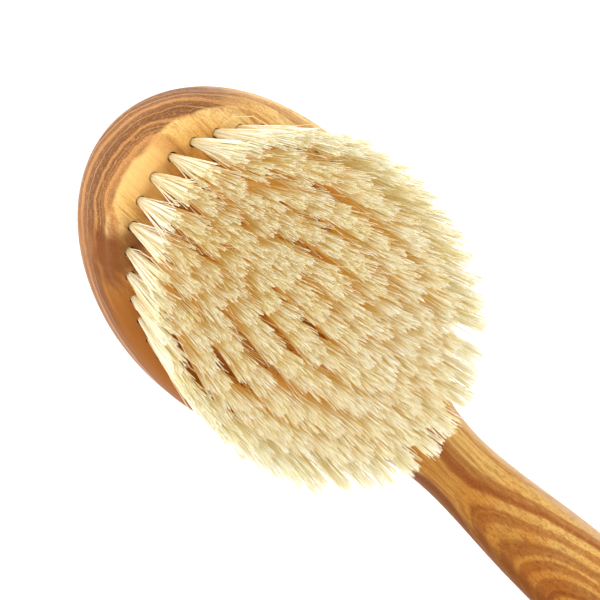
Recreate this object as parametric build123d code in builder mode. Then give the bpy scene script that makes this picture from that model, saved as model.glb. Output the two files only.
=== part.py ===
"""Body dry brush: a one-piece olive wood head and handle, set with tufts of plant fibre.

Frame: the origin is on the flat of the head's back, below the middle of the head. +X runs
along the handle, +Y is across the head and +Z is the way the bristles stand. Millimetres.

Each drilled hole holds one tuft, folded under a flat wire anchor that bites into the wood.
The tufts stand in oval rows, one inside the other, and lean outward more in each wider row.
"""

import os
from math import cos, radians, sin, tan

from build123d import *

# Head
overall_length = 270.0
head_length = 129.5
head_width = 80.0
head_thickness = 16.8
head_sweep = 138.0         # how much of each side of the head, from the nose, is an oval

# Handle
neck_x = 105.0             # where the handle is narrowest
neck_width = 23.4
neck_dip = 1.8             # the neck's upper side lies this far below the face
grip_width = 33.0
grip_end = 15.0            # from the widest place to the end
handle_thickness = 15.2
handle_rise = 26.0         # slope of the straight end of the handle, in degrees
bend_radius = 150.0
edge_radius = 6.8          # the rounding of every long edge of the wood

# Hanging hole
hang_hole_radius = 3.0
hang_hole_edge = 0.8       # chamfer at both mouths
hang_hole_inset = 15.0     # from the end of the handle

# Oval rows of tufts, the outer one first, around one straight row on the long axis
oval_rows = 5
row_gap_along = 6.5        # between one row and the next, at the ends of the ovals
row_gap_across = 7.1       # and at their sides
row_centre_x = -0.9
outer_row_length = 105.4
outer_row_width = 70.4
outer_row_shift = 2.4      # how far along the outer row its first tuft stands from the long axis
tuft_pitch = 6.7           # along a row
middle_row_pitch = 7.0
middle_row_count = 6
splay_along = 15.2         # lean of the outer row's end tufts, in degrees
splay_across = 8.5         # lean of the outer row's side tufts, in degrees

# One tuft and its hole
bristle_height = 26.6      # from the face to the trimmed tips
hole_radius = 1.35
hole_depth = 9.0
hole_overrun = 1.5         # the drill starts this far above the face
tuft_foot_radius = 1.25
tuft_foot_depth = 8.8
tuft_flare = 0.055         # how fast its radius grows above the face
tuft_reach = 30.0          # its length before the tips are trimmed level

# One wire anchor
anchor_width = 3.3
anchor_thickness = 0.36
anchor_height = 2.0
anchor_depth = 6.2         # from the face to its upper edge

# Places worked out from the dimensions above
face = Plane.XY.offset(head_thickness)
handle_end_x = overall_length - head_length / 2
grip_x = handle_end_x - grip_end
slope = tan(radians(handle_rise))
bend_end = (
    neck_x + bend_radius * sin(radians(handle_rise)),
    bend_radius * (1 - cos(radians(handle_rise))),
)
grip_low = (
    bend_end[0] - handle_thickness * sin(radians(handle_rise)),
    bend_end[1] + handle_thickness * cos(radians(handle_rise)),
)
hang_x = handle_end_x - hang_hole_inset
hang_back = (hang_x, 0, bend_end[1] + (hang_x - bend_end[0]) * slope)
axis_slack = 0.01          # a tuft this close to the long axis counts as being on it

os.makedirs("parts", exist_ok=True)


def save(piece, label):
    """Name a finished piece and write it."""
    piece.part.label = label
    export_step(piece.part, f"parts/{label}.step")


def seat(foot, along):
    """The plane of the tuft whose foot is at a point of the face: its Z is the tuft's own lean."""
    lean_x = (foot.X - row_centre_x) / (outer_row_length / 2) * tan(radians(splay_along))
    lean_y = foot.Y / (outer_row_width / 2) * tan(radians(splay_across))
    return Plane(foot, x_dir=along, z_dir=(lean_x, lean_y, 1))


def oval_row(row):
    """The seats of one oval row, evenly spaced along it."""
    with BuildSketch(face) as oval:
        with Locations((row_centre_x, 0)):
            Ellipse(outer_row_length / 2 - row * row_gap_along, outer_row_width / 2 - row * row_gap_across)
    line = oval.sketch.edge()
    count = 2 * round(line.length / tuft_pitch / 2)
    shift = outer_row_shift / line.length if row == 0 else 0
    places = [number / count + shift for number in range(count)]
    return [seat(line.position_at(place), line.tangent_at(place)) for place in places]


def middle_row():
    """The seats of the straight row on the long axis."""
    first_x = row_centre_x - middle_row_pitch * (middle_row_count - 1) / 2
    feet = [first_x + number * middle_row_pitch for number in range(middle_row_count)]
    return [seat(Vector(foot_x, 0, head_thickness), (1, 0, 0)) for foot_x in feet]


def anchor_box(mode):
    """The wire anchor, at its place in the hole of a tuft."""
    with Locations((0, 0, -anchor_depth)):
        Box(
            anchor_width,
            anchor_thickness,
            anchor_height,
            align=(Align.CENTER, Align.CENTER, Align.MAX),
            mode=mode,
        )


rows = {"middle_row": middle_row()}
for row in range(oval_rows):
    seats = oval_row(row)
    rows[f"row_{row + 1}_left"] = [one for one in seats if one.origin.Y > -axis_slack]
    rows[f"row_{row + 1}_right"] = [one for one in seats if one.origin.Y <= -axis_slack]
drilled = [one for seats in rows.values() for one in seats]

# Wood: a board sawn to the plan outline and to the side outline, rounded over and drilled
with BuildPart() as brush_body:
    with BuildSketch():
        with BuildLine():
            head = EllipticalCenterArc(
                (0, 0),
                head_length / 2,
                head_width / 2,
                start_angle=180 - head_sweep,
                arc_size=head_sweep,
            )
            Spline(
                head @ 0,
                (neck_x, neck_width / 2),
                (grip_x, grip_width / 2),
                tangents=[-(head % 0), (1, 0)],
            )
            end = EllipticalCenterArc((grip_x, 0), grip_end, grip_width / 2, start_angle=0, arc_size=90)
            Line(end @ 0, head @ 1)
        make_face()
        mirror(about=Plane.XZ)
    extrude(amount=head_length)

    with BuildSketch(Plane.XZ):
        with BuildLine():
            back = Line((-head_length, 0), (neck_x, 0))
            CenterArc((neck_x, bend_radius), bend_radius, 270, handle_rise)
            back_end = Line(bend_end, (bend_end[0] + head_length, bend_end[1] + head_length * slope))
            front_end = Line(grip_low, (grip_low[0] + head_length, grip_low[1] + head_length * slope))
            front = Line((-head_length, head_thickness), (head_length / 2 - edge_radius, head_thickness))
            Spline(
                front @ 1,
                (neck_x, head_thickness - neck_dip),
                grip_low,
                tangents=[(1, 0), (1, slope)],
            )
            Line(back @ 0, front @ 0)
            Line(back_end @ 1, front_end @ 1)
        make_face()
    extrude(amount=head_width, both=True, mode=Mode.INTERSECT)

    long_edges = brush_body.edges().filter_by(Axis.Y, reverse=True).filter_by(Axis.Z, reverse=True)
    fillet(long_edges, edge_radius)

    with Locations(*[one.offset(hole_overrun) for one in drilled]):
        Hole(hole_radius, depth=hole_depth + hole_overrun)
    with Locations(*drilled):
        anchor_box(Mode.SUBTRACT)

    with Locations(Plane(hang_back, x_dir=(0, 1, 0), z_dir=(-slope, 0, 1))):
        Hole(hang_hole_radius)
    mouths = brush_body.edges().filter_by(GeomType.CIRCLE)
    chamfer(mouths.filter_by(lambda mouth: abs(mouth.radius - hang_hole_radius) < 0.01), hang_hole_edge)

save(brush_body, "brush_body")

# One tuft: it fills its hole, is folded under its anchor, and fans out from the face
with BuildPart() as tuft:
    with BuildSketch(Plane.XZ):
        with BuildLine():
            Polyline(
                (0, -tuft_foot_depth),
                (tuft_foot_radius, -tuft_foot_depth),
                (tuft_foot_radius, 0),
                (tuft_foot_radius + tuft_flare * tuft_reach, tuft_reach),
                (0, tuft_reach),
                close=True,
            )
        make_face()
    revolve(axis=Axis.Z)
    anchor_box(Mode.SUBTRACT)

# One flat wire anchor, wider than its hole
with BuildPart() as anchor:
    anchor_box(Mode.ADD)

for name, seats in rows.items():
    with BuildPart() as tufts:
        with Locations(*seats):
            add(tuft.part)
        split(bisect_by=face.offset(bristle_height), keep=Keep.BOTTOM)
    save(tufts, f"tufts_{name}")

    with BuildPart() as anchors:
        with Locations(*seats):
            add(anchor.part)
    save(anchors, f"anchors_{name}")

print(f"{len(drilled)} tufts in {len(rows)} groups")
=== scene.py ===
import math

import bpy
import numpy as np
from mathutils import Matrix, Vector


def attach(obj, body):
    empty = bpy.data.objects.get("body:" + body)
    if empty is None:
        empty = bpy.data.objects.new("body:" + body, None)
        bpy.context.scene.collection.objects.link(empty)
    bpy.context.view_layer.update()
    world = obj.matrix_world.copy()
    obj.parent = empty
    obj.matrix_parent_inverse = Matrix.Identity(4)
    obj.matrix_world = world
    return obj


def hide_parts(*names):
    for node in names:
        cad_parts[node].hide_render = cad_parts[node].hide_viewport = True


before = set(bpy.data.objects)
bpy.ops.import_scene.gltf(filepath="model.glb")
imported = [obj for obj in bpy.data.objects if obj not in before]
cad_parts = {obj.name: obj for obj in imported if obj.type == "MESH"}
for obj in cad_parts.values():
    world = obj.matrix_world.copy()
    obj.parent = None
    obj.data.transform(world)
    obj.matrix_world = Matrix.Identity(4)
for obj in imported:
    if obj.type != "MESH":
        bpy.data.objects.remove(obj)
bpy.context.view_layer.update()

MM = 0.001
FACE = 16.8 * MM            # height of the head's flat face
TIPS = 43.4 * MM            # height at which the tufts are cut
SEED = 7

# ---------------------------------------------------------------- fibres
FIBRES = 128                # in one tuft
STRAYS = 32                 # of them, those that lean away from the rest
WILD = 3                    # of the strays, those that cross the gaps between the tufts
STRANDS = 13                # that the fibres of a tuft gather in
STICK = 0.40                # how far a fibre is drawn to its strand
INWARD = 0.60               # 0.5 would fill the bundle evenly, more crowds its middle
SEGMENTS = 3                # along a fibre
CORNERS = 4                 # around it; each end is closed with one quad, so it stays 4
FLATNESS = 0.78             # of its section
DULL = 0.24                 # share of the fibres that are darker

# lengths in mm
WIDTH = 0.24                # across one fibre
START = 1.6                 # below the hole's mouth, where the fibres start
ROOT_RADIUS = 0.84          # of the bundle where it leaves the hole
FAN_RADIUS = 3.58           # of the bundle at the tips
STRAND_SPREAD = 0.55 * FAN_RADIUS
SCATTER = 0.28              # of one fibre at the tips
TUFT_LEAN = 0.65            # of a whole tuft
STRAY_LEAN = 1.40
WILD_LEAN = 2.6
CURL = 0.13
WILD_CURL = 1.0
WAVE = 0.04
CUT = 0.2                   # how uneven the cut is
STRAND_SHORT = 0.65         # how much lower a strand ends
FIBRE_SHORT = 0.55          # and one fibre
DOME = 0.8                  # how much lower the edge of a tuft ends

# what the fibres' painted shade attribute is at the root of a fibre: golden painted shade deep in the
# bundle, and a stronger painted glow; it is 0 at the tip
ROOT_SHADE = 0.9
OUTER_ROOT_SHADE = 0.14     # the roots of the outer row are in the light


def islands(mesh):
    """The separate closed shapes of a mesh, each as an array of its points."""
    points = np.empty(len(mesh.vertices) * 3)
    mesh.vertices.foreach_get("co", points)
    points = points.reshape(-1, 3)
    keys = np.round(points / (0.002 * MM)).astype(np.int64)
    _, first, same = np.unique(keys, axis=0, return_index=True, return_inverse=True)
    edges = np.empty(len(mesh.edges) * 2, dtype=np.int64)
    mesh.edges.foreach_get("vertices", edges)
    edges = same.ravel()[edges.reshape(-1, 2)]
    label = np.arange(len(first))
    while True:
        low = np.minimum(label[edges[:, 0]], label[edges[:, 1]])
        new = label.copy()
        np.minimum.at(new, edges[:, 0], low)
        np.minimum.at(new, edges[:, 1], low)
        new = new[new]
        if (new == label).all():
            break
        label = new
    merged = points[first]
    return [merged[label == one] for one in np.unique(label)]


def unit(vector):
    return vector / np.linalg.norm(vector)


def box_middle(points):
    return (points.min(axis=0) + points.max(axis=0)) / 2


def tuft_line(points):
    """Where a tuft's middle line leaves its hole, and where it ends at the tips."""
    tip = box_middle(points[points[:, 2] > TIPS - 0.01 * MM])
    foot = points[points[:, 2].argmin()]
    for _ in range(3):
        reach = (points - tip) @ unit(tip - foot)
        foot = box_middle(points[reach < reach.min() + 0.15 * MM])
    axis = unit(tip - foot)
    mouth = foot + axis * (FACE - foot[2]) / axis[2]
    return mouth, tip


def edge_shape(tip):
    """For a tuft of the outer row: the direction out of the head, how far past the tuft's tip its
    fibres may end, and how far all of them are pushed that way, both in mm."""
    away = unit(np.array([tip[0] + 0.9 * MM, tip[1] * 1.45, 0.0]))
    handle, left, right = max(0.0, away[0]), max(0.0, away[1]), max(0.0, -away[1])
    corner = handle * right
    limit = 1.8 + 0.5 * away[1] + 1.1 * handle + 4.0 * corner
    push = 1.8 * corner + 0.7 * left + 1.6 * handle ** 3
    return away, limit, push


def tuft_fibres(mouth, tip, outer, rng):
    """The points of one tuft's fibres, by fibre, ring and corner, and the tone of each fibre."""
    axis = unit(tip - mouth)
    side = unit(np.cross(axis, (0.0, 0.0, 1.0) if abs(axis[2]) < 0.9 else (1.0, 0.0, 0.0)))
    up = np.cross(axis, side)

    def sway(spread):
        return rng.normal(0, spread, (FIBRES, 1)) * side + rng.normal(0, spread, (FIBRES, 1)) * up

    # where each fibre stands in the bundle, at the root and at the tips
    angle = rng.uniform(0, 2 * math.pi, FIBRES)
    place = rng.uniform(0.0, 1.0, FIBRES) ** INWARD
    at = np.stack([np.cos(angle), np.sin(angle)], axis=1) * place[:, None]
    root = at * ROOT_RADIUS * MM
    fan = at * FAN_RADIUS * MM * rng.uniform(0.90, 1.10, FIBRES)[:, None]
    fan += rng.normal(0, SCATTER, (FIBRES, 2)) * MM
    strand = rng.normal(0, STRAND_SPREAD, (STRANDS, 2)) * MM
    near = ((fan[:, None, :] - strand[None, :, :]) ** 2).sum(axis=2).argmin(axis=1)
    fan += (strand[near] - fan) * STICK
    fan += rng.normal(0, TUFT_LEAN, 2) * MM
    fan[:STRAYS] += rng.normal(0, STRAY_LEAN, (STRAYS, 2)) * MM
    fan[:WILD] += rng.normal(0, WILD_LEAN, (WILD, 2)) * MM
    start = mouth - axis * START * MM + root[:, :1] * side + root[:, 1:] * up
    end = tip + fan[:, :1] * side + fan[:, 1:] * up
    if outer:
        away, limit, push = edge_shape(tip)
        over = (end - tip) @ away - (limit + rng.uniform(-0.5, 0.5, FIBRES)) * MM
        end -= np.clip(over, 0, None)[:, None] * away
        end += push * MM * away

    # the height of each cut end
    short = np.abs(rng.normal(0, STRAND_SHORT, STRANDS))[near]
    short = short + np.abs(rng.normal(0, FIBRE_SHORT, FIBRES))
    level = TIPS + (rng.normal(0.0, CUT, FIBRES) - short - DOME * place ** 3) * MM
    run = end - start
    run *= ((level - start[:, 2]) / run[:, 2])[:, None]

    # the course, the thickness and the tone of each fibre
    bend = sway(1.0) * np.where(np.arange(FIBRES) < WILD, WILD_CURL, CURL)[:, None] * MM
    wave = sway(WAVE) * MM
    thick = WIDTH * MM * rng.uniform(0.75, 1.25, FIBRES)
    turn = rng.uniform(0, math.pi / 2, FIBRES)
    dull = rng.random(FIBRES) < DULL
    tone = np.where(dull, rng.uniform(0, 0.35, FIBRES), rng.uniform(0.6, 1.0, FIBRES))
    rings = []
    for k in range(SEGMENTS + 1):
        t = k / SEGMENTS
        middle = start + run * t + bend * math.sin(math.pi * t) + wave * math.sin(2 * math.pi * t)
        half = thick * (0.56 - 0.08 * t - 0.16 * t ** 4)
        ring = []
        for c in range(CORNERS):
            angle = turn + c * 2 * math.pi / CORNERS
            reach = half * (FLATNESS if c % 2 else 1.0)
            out = (reach * np.cos(angle))[:, None] * side + (reach * np.sin(angle))[:, None] * up
            ring.append(middle + out)
        rings.append(np.stack(ring, axis=1))
    return np.stack(rings, axis=1), tone


def fibre_mesh(name, tufts, outer, rng):
    """One mesh with every fibre of a group of tufts."""
    shapes, tones = zip(*(tuft_fibres(mouth, tip, outer, rng) for mouth, tip in tufts))
    points = np.array(shapes).reshape(-1, 3)
    total = len(tufts) * FIBRES
    per = (SEGMENTS + 1) * CORNERS
    along = np.repeat(1 - np.arange(SEGMENTS + 1) / SEGMENTS, CORNERS)
    # painted shade and glow of each point: most at the root, little in the outer row
    bundle_shade = np.tile((OUTER_ROOT_SHADE if outer else ROOT_SHADE) * along, total)
    tone = np.repeat(np.array(tones).ravel(), per)

    one = []
    for k in range(0, SEGMENTS * CORNERS, CORNERS):
        for c in range(CORNERS):
            d = (c + 1) % CORNERS
            one.append((k + c, k + d, k + CORNERS + d, k + CORNERS + c))
    one.append(tuple(range(CORNERS))[::-1])
    one.append(tuple(range(per - CORNERS, per)))
    quads = np.array(one)[None, :, :] + (np.arange(total) * per)[:, None, None]
    quads = quads.reshape(-1, 4)

    mesh = bpy.data.meshes.new(name)
    mesh.vertices.add(len(points))
    mesh.vertices.foreach_set("co", points.ravel())
    mesh.loops.add(quads.size)
    mesh.loops.foreach_set("vertex_index", quads.ravel())
    mesh.polygons.add(len(quads))
    mesh.polygons.foreach_set("loop_start", np.arange(0, quads.size, 4))
    mesh.update(calc_edges=True)
    mesh.validate()
    for label, values in (("tone", tone), ("bundle_shade", bundle_shade)):
        layer = mesh.attributes.new(label, "FLOAT", "POINT")
        layer.data.foreach_set("value", values.astype(np.float32))
    mesh.polygons.foreach_set("use_smooth", np.zeros(len(quads), dtype=bool))
    return mesh


# ---------------------------------------------------------------- materials
class Nodes:
    """A short way to write a node tree."""

    def __init__(self, name):
        self.material = bpy.data.materials.new(name)
        self.material.use_nodes = True
        self.tree = self.material.node_tree
        self.tree.nodes.clear()
        self.out = self.tree.nodes.new("ShaderNodeOutputMaterial")

    def new(self, kind, inputs=None, **settings):
        node = self.tree.nodes.new(kind)
        for key, value in settings.items():
            setattr(node, key, value)
        for key, value in (inputs or {}).items():
            self.put(node.inputs[key], value)
        return node

    def put(self, socket, value):
        if isinstance(value, bpy.types.NodeSocket):
            self.tree.links.new(value, socket)
        else:
            socket.default_value = value

    def principled(self, **inputs):
        """A Principled BSDF, with its inputs' names written in small letters."""
        names = {"colour": "Base Color", "roughness": "Roughness", "specular": "Specular IOR Level",
                 "metallic": "Metallic", "normal": "Normal", "glow": "Emission Color",
                 "glow_strength": "Emission Strength"}
        return self.new("ShaderNodeBsdfPrincipled", {names[key]: value for key, value in inputs.items()})

    def finish(self, shader):
        self.put(self.out.inputs["Surface"], shader.outputs[0])
        return self.material

    def math(self, operation, a, b=0.0):
        return self.new("ShaderNodeMath", {0: a, 1: b}, operation=operation).outputs[0]

    def add(self, a, b):
        return self.math("ADD", a, b)

    def less(self, a, b):
        return self.math("SUBTRACT", a, b)

    def times(self, a, b):
        return self.math("MULTIPLY", a, b)

    def rest(self, a):
        """What is left of 1."""
        return self.less(1.0, a)

    def swing(self, noise, size):
        """A noise brought to both sides of zero."""
        return self.times(self.less(noise, 0.5), size)

    def span(self, value, low, high, to_low=0.0, to_high=1.0, smooth=True):
        inputs = {"Value": value, "From Min": low, "From Max": high, "To Min": to_low, "To Max": to_high}
        kind = "SMOOTHSTEP" if smooth else "LINEAR"
        return self.new("ShaderNodeMapRange", inputs, interpolation_type=kind).outputs["Result"]

    def millimetres(self):
        """The place in the object, in mm."""
        place = self.new("ShaderNodeTexCoord").outputs["Object"]
        return self.stretch(place, (1000, 1000, 1000))

    def stretch(self, vector, scale):
        return self.new("ShaderNodeMapping", {"Vector": vector, "Scale": scale}).outputs[0]

    def distance(self, vector, point):
        inputs = {0: vector, 1: point}
        return self.new("ShaderNodeVectorMath", inputs, operation="DISTANCE").outputs["Value"]

    def rings(self, y, z, pith):
        """The distance from a pith line along X."""
        across = self.less(y, pith[0])
        down = self.less(z, pith[1])
        return self.math("SQRT", self.add(self.times(across, across), self.times(down, down)))

    def noise(self, vector, scale, detail=2.0, rough=0.5):
        """A noise with its own scale along each axis."""
        inputs = {"Vector": self.stretch(vector, scale), "Scale": 1.0, "Detail": detail, "Roughness": rough}
        return self.new("ShaderNodeTexNoise", inputs).outputs[0]

    def layers(self, distance, scale, detail=2.0, rough=0.5):
        """A noise along one distance."""
        inputs = {"W": distance, "Scale": scale, "Detail": detail, "Roughness": rough}
        return self.new("ShaderNodeTexNoise", inputs, noise_dimensions="1D").outputs[0]

    def mix(self, factor, a, b, blend="MIX"):
        inputs = {0: factor, 6: a, 7: b}
        return self.new("ShaderNodeMix", inputs, data_type="RGBA", blend_type=blend).outputs[2]

    def lay(self, colour, mask, strength, over, blend="MIX"):
        """A colour with another laid over it where the mask says so."""
        return self.mix(self.times(mask, strength), colour, over, blend)

    def bump(self, height, strength, distance):
        inputs = {"Height": height, "Strength": strength, "Distance": distance}
        return self.new("ShaderNodeBump", inputs).outputs[0]


def linear(red, green, blue):
    """A colour given in sRGB 0-255, as linear values."""
    out = []
    for c in (red, green, blue):
        c = c / 255
        out.append(c / 12.92 if c <= 0.04045 else ((c + 0.055) / 1.055) ** 2.4)
    return (*out, 1.0)


# ---------------------------------------------------------------- the wood
# Lengths are in mm. The head's left side is at +Y, and its right side at -Y.
NECK = (48.0, 84.0)             # where along X the head's wood gives way to the handle's
FLAT_PITH = (-14.0, 118.0)      # Y and Z of the head's pith line, which is far away
ROUND_PITH = (-12.0, 36.8)      # and of the handle's, which is near
PITH_STEP = 78.0                # added to the handle's rings, to go on from the head's layers

# dark bands of the handle: distance from the pith, half width, strength
HANDLE_BANDS = (
    (25.0, 1.55, 0.662),
    (26.5, 0.12, 0.322),
    (30.6, 0.28, 0.460),
    (20.4, 0.45, 0.322),
    (16.3, 1.20, 0.598),
    (17.6, 0.12, 0.322),
    (9.0, 2.00, 0.570),
)
BAND_EDGE = 0.28                # how soft their edges are
CROWN_START = 105.0             # where along X the handle starts to curve up
CROWN_RISE = 0.0036             # and how fast it does
CROWN_HEIGHT = 15.0             # how high it is before that

HONEY = linear(226, 176, 96)
STRAW = linear(234, 203, 134)
BAND = linear(150, 78, 28)
RIM_DARK = linear(110, 66, 36)
RIM_LIGHT = linear(186, 130, 74)
BURR = linear(112, 54, 18)
HANDLE_SHADE = linear(224, 206, 176)


def wood_material():
    n = Nodes("olive_wood")
    mm = n.millimetres()
    x, y, z = n.new("ShaderNodeSeparateXYZ", {"Vector": mm}).outputs
    slow = n.noise(mm, (0.011, 0.030, 0.03))
    small = n.noise(mm, (0.040, 0.11, 0.09), detail=1.5)
    quick = n.noise(mm, (0.13, 0.40, 0.40))
    patch = n.noise(mm, (0.022, 0.060, 0.05))
    streak = n.noise(mm, (0.030, 0.85, 0.85), detail=2.5, rough=0.6)
    thread = n.noise(mm, (0.03, 1.7, 1.7), detail=3.0, rough=0.6)
    dash = n.noise(mm, (0.55, 0.55, 4.2))
    pore = n.noise(mm, (0.45, 5.0, 5.0))
    grain = n.noise(mm, (1.1, 3.6, 3.6), detail=3.0, rough=0.7)

    in_handle = n.span(x, *NECK)
    in_head = n.rest(in_handle)
    wide_y = n.math("ABSOLUTE", y)

    # the growth layers lie almost flat in the head, and are rings about a near pith in the handle
    wander = n.less(slow, 0.5)
    ripple = n.add(n.swing(small, 2.4), n.swing(quick, 0.7))
    flat = n.rings(n.add(y, n.times(wander, 8.0)), z, FLAT_PITH)
    flat = n.add(n.add(flat, ripple), n.times(wander, 2.5))
    ring = n.add(n.rings(y, z, ROUND_PITH), n.times(ripple, 0.62))
    layer = n.add(n.times(in_head, flat), n.times(in_handle, n.add(ring, PITH_STEP)))
    fine = n.layers(layer, 0.52, detail=2.5, rough=0.6)
    wide = n.layers(layer, 0.30)

    # the light wood of the face and the handle
    light = n.mix(n.span(patch, 0.36, 0.64), HONEY, STRAW)
    light = n.lay(light, n.span(wide, 0.50, 0.66), 0.65, linear(166, 94, 36))
    light = n.lay(light, n.span(fine, 0.54, 0.72), 0.40, linear(150, 82, 32))
    for centre, half, strength in HANDLE_BANDS:
        away = n.math("ABSOLUTE", n.less(ring, centre))
        band = n.times(n.span(away, half + BAND_EDGE, half - BAND_EDGE), in_handle)
        light = n.lay(light, band, strength, BAND)

    # the darker wood of the rim, and of the handle's lower layers
    dark = n.mix(n.span(fine, 0.47, 0.61), RIM_DARK, RIM_LIGHT)
    dark = n.lay(dark, n.span(wide, 0.54, 0.68), 0.45, linear(88, 48, 22))
    edge = n.add(n.add(z, n.times(wide_y, 0.05)), n.swing(small, 1.2))
    deep = n.times(n.span(edge, 16.6, 16.0), in_head)
    nose = n.add(x, n.times(wide_y, 0.6))
    deep = n.times(deep, n.rest(n.span(nose, -42.0, -20.0)))
    deep = n.math("MAXIMUM", deep, n.times(n.span(ring, 33.0, 38.0), in_handle))
    colour = n.mix(deep, light, dark)

    # streaks, threads, pores and grain, fainter in the dark wood
    faint = n.rest(n.times(deep, 0.95))
    for mask, strength, over in (
        (n.span(streak, 0.48, 0.68), 0.42, linear(140, 78, 32)),
        (n.span(streak, 0.46, 0.30), 0.40, linear(214, 172, 106)),
        (n.span(thread, 0.50, 0.60), 0.36, linear(164, 92, 34)),
    ):
        colour = n.lay(colour, n.times(mask, faint), strength, over)
    colour = n.lay(colour, n.times(n.span(dash, 0.54, 0.70), deep), 0.45, linear(196, 142, 84))
    fleck = n.times(n.span(pore, 0.56, 0.76), n.span(x, *NECK, 0.20, 0.06))
    colour = n.mix(fleck, colour, linear(104, 58, 28))
    colour = n.mix(n.span(grain, 0.46, 0.66, 0.0, 0.30), colour, linear(150, 88, 40))
    colour = n.mix(n.span(grain, 0.52, 0.36, 0.0, 0.16), colour, linear(240, 206, 146))

    # darker along the head's right side: partly darker wood, partly painted shade of the bristles
    low = n.times(n.span(y, -16.0, -33.0), in_head)
    colour = n.lay(colour, low, 0.97, linear(146, 84, 22))

    # the handle is a little darker than the head; its right side is darker still, painted shade on the side
    # turned from the key light
    colour = n.mix(in_handle, colour, HANDLE_SHADE, blend="MULTIPLY")
    right = n.times(n.span(y, 9.0, -9.0), in_handle)
    colour = n.mix(right, colour, linear(222, 202, 168), blend="MULTIPLY")

    # the head's rim on its right side
    side = n.times(n.span(y, -8.0, -24.0), n.span(edge, 16.4, 12.6))
    side = n.times(side, n.rest(n.math("MAXIMUM", deep, in_handle)))
    colour = n.lay(colour, side, 0.85, dark)

    # the handle's rounded edges: dark on the right below its crown, partly darker wood and partly painted
    # shade; greyer on the left, a painted silvery sheen
    past = n.math("MAXIMUM", n.less(x, CROWN_START), 0.0)
    crown = n.add(n.times(n.times(past, past), CROWN_RISE), CROWN_HEIGHT)
    drop = n.times(n.less(crown, z), 0.9)
    # darker wood and painted shade below the crown on the right
    under_wood_and_shade = n.times(n.span(n.less(drop, y), 9.8, 14.4), in_handle)
    colour = n.lay(colour, under_wood_and_shade, 0.74, linear(110, 62, 30))
    # painted sheen: the left edge greyer, as if it shone
    painted_sheen = n.times(n.span(n.add(drop, y), 10.5, 16.0), in_handle)
    colour = n.lay(colour, painted_sheen, 0.55, linear(184, 154, 126))

    # the head's left side, toned down as painted shade where the key light falls strongest; a pale patch at
    # the nose, partly lighter wood and partly painted light lifting the tufts' shadow; and a small burr
    # painted shade on the head's left side, against the key light
    sunny = n.times(n.span(y, 4.0, 30.0), in_head)
    colour = n.mix(sunny, colour, linear(236, 232, 228), blend="MULTIPLY")
    # a pale patch at the nose, partly painted light over the tufts' shadow
    pale = n.distance(mm, (-57.0, -3.0, FACE / MM))
    colour = n.lay(colour, n.times(n.span(pale, 13.0, 3.0), n.rest(deep)), 0.75, linear(230, 188, 118))
    burr = n.add(n.distance(mm, (-46.5, -22.5, FACE / MM)), n.swing(quick, 12.0))
    colour = n.lay(colour, n.span(burr, 11.0, 4.0), 0.80, BURR)

    relief = n.add(n.times(pore, -0.5), n.times(fine, 0.4))
    return n.finish(n.principled(
        colour=colour,
        roughness=n.span(streak, 0.3, 0.75, 0.40, 0.54),
        specular=n.span(under_wood_and_shade, 0.0, 1.0, 0.12, 0.02),
        normal=n.bump(relief, 0.22, 0.12 * MM),
    ))


# ---------------------------------------------------------------- the fibres and the wire
PALE_FIBRE = linear(250, 254, 254)
DULL_FIBRE = linear(236, 223, 178)
# golden painted shade at the roots, deep in the bundle
SHADED_ROOT_FIBRE = linear(238, 182, 60)
CUT_END = linear(236, 206, 136)
GLOW = (0.86, 0.60, 0.10, 1.0)  # painted glow that stands in for light passing through the bundle
THROUGH = 0.42                  # how much of the light a fibre lets through


def fibre_material():
    n = Nodes("plant_fibre")
    tone = n.new("ShaderNodeAttribute", attribute_name="tone").outputs["Fac"]
    bundle_shade = n.new("ShaderNodeAttribute", attribute_name="bundle_shade").outputs["Fac"]
    mm = n.millimetres()
    cloud = n.noise(mm, (0.09, 0.09, 0.05))
    fleck = n.noise(mm, (2.4, 2.4, 0.5), rough=0.6)
    colour = n.mix(n.span(tone, 0.1, 0.9, smooth=False), DULL_FIBRE, PALE_FIBRE)
    colour = n.lay(colour, n.span(cloud, 0.42, 0.66), 0.30, linear(248, 244, 214))
    # painted shade: the fibres turn golden towards their roots, deep in the bundle
    colour = n.lay(colour, bundle_shade, 0.86, SHADED_ROOT_FIBRE)
    colour = n.lay(colour, n.span(fleck, 0.60, 0.75), 0.20, linear(226, 204, 147))
    normal = n.new("ShaderNodeNewGeometry").outputs["True Normal"]
    facing_up = n.new("ShaderNodeSeparateXYZ", {"Vector": normal}).outputs["Z"]
    colour = n.mix(n.span(facing_up, 0.60, 0.85, 0.0, 0.50), colour, CUT_END)
    # a painted glow, stronger deep in the bundle
    shader = n.principled(
        colour=colour,
        roughness=0.36,
        specular=0.50,
        normal=n.bump(fleck, 0.3, 0.05 * MM),
        glow=GLOW,
        glow_strength=n.span(bundle_shade, 0.08, 0.60, 0.114, 0.18, smooth=False),
    )
    thin = n.new("ShaderNodeBsdfTranslucent", {"Color": colour})
    return n.finish(n.new("ShaderNodeMixShader", {0: THROUGH, 1: shader.outputs[0], 2: thin.outputs[0]}))


def wire_material():
    n = Nodes("wire")
    lines = n.noise(n.millimetres(), (1.5, 9.0, 9.0))
    return n.finish(n.principled(
        colour=n.mix(n.span(lines, 0.35, 0.7), linear(176, 174, 168), linear(214, 212, 206)),
        roughness=n.span(lines, 0.3, 0.7, 0.28, 0.46),
        metallic=1.0,
        normal=n.bump(lines, 0.2, 0.03 * MM),
    ))


def floor_material():
    n = Nodes("floor")
    return n.finish(n.principled(
        colour=(0.86, 0.86, 0.86, 1.0),
        roughness=0.8,
        glow=(1.0, 1.0, 1.0, 1.0),
        glow_strength=0.62,
    ))


def paint(obj, material):
    obj.data.materials.clear()
    obj.data.materials.append(material)


# ---------------------------------------------------------------- the brush
scene = bpy.context.scene
wood = wood_material()
fibre = fibre_material()
wire = wire_material()

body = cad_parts["brush_body"]
paint(body, wood)

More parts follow.
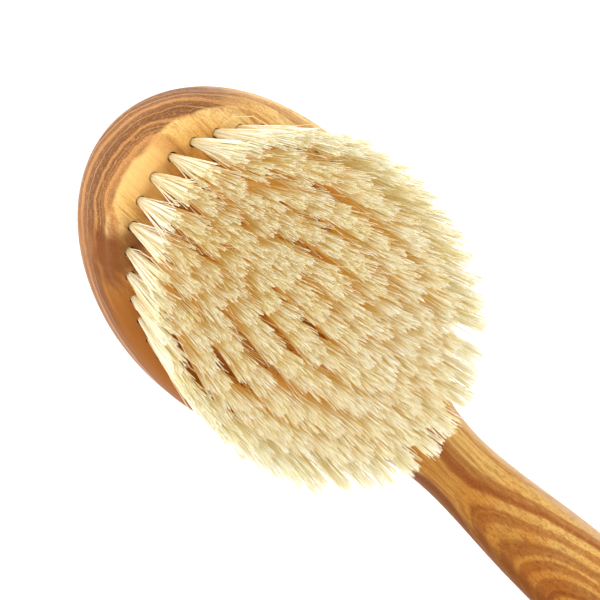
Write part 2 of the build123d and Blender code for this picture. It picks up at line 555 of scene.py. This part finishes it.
rng = np.random.default_rng(SEED)
for name in sorted(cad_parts):
    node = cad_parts[name]
    if name.startswith("anchors_"):
        paint(node, wire)
    if not name.startswith("tufts_"):
        continue
    lines = [tuft_line(points) for points in islands(node.data)]
    lines.sort(key=lambda line: (round(line[0][0], 5), round(line[0][1], 5)))
    piece = name.replace("tufts_", "fibres_")
    outer = name.startswith("tufts_row_1")
    obj = bpy.data.objects.new(piece, fibre_mesh(piece, lines, outer, rng))
    scene.collection.objects.link(obj)
    paint(obj, fibre)
    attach(obj, "root")
    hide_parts(name)

# ---------------------------------------------------------------- the studio
FLOOR = 4.0                     # half the side of the floor, in metres


def area_light(name, place, target, size, power):
    data = bpy.data.lights.new(name, "AREA")
    data.shape = "SQUARE"
    data.size = size
    data.energy = power
    obj = bpy.data.objects.new(name, data)
    obj.location = place
    obj.rotation_euler = (Vector(target) - Vector(place)).to_track_quat("-Z", "Y").to_euler()
    scene.collection.objects.link(obj)


mesh = bpy.data.meshes.new("floor")
corners = [(-FLOOR, -FLOOR, 0), (FLOOR, -FLOOR, 0), (FLOOR, FLOOR, 0), (-FLOOR, FLOOR, 0)]
mesh.from_pydata(corners, [], [(0, 1, 2, 3)])
floor = bpy.data.objects.new("floor", mesh)
scene.collection.objects.link(floor)
paint(floor, floor_material())

area_light("key", (-0.35, 0.75, 0.95), (0.03, 0, 0), size=1.2, power=12.2)
area_light("fill", (-0.25, -0.90, 0.80), (0.03, 0, 0), size=1.1, power=8.2)
area_light("front", (-1.0, -0.3, 0.55), (0.0, 0, 0.02), size=0.9, power=2.6)

world = bpy.data.worlds.new("studio")
world.use_nodes = True
back = world.node_tree.nodes["Background"]
back.inputs["Color"].default_value = (1.0, 1.0, 1.0, 1.0)
back.inputs["Strength"].default_value = 0.70
scene.world = world
scene.view_settings.view_transform = "Standard"

# ---------------------------------------------------------------- the camera, as fitted to the photograph
data = bpy.data.cameras.new("camera")
data.sensor_width = 36.0
data.lens = 101.61
data.clip_start = 0.01
data.clip_end = 50.0
camera = bpy.data.objects.new("camera", data)
camera.location = (-0.294056, -0.041012, 0.348583)
camera.rotation_euler = [math.radians(angle) for angle in (-27.3242, -34.1554, 50.5913)]
scene.collection.objects.link(camera)
scene.camera = camera
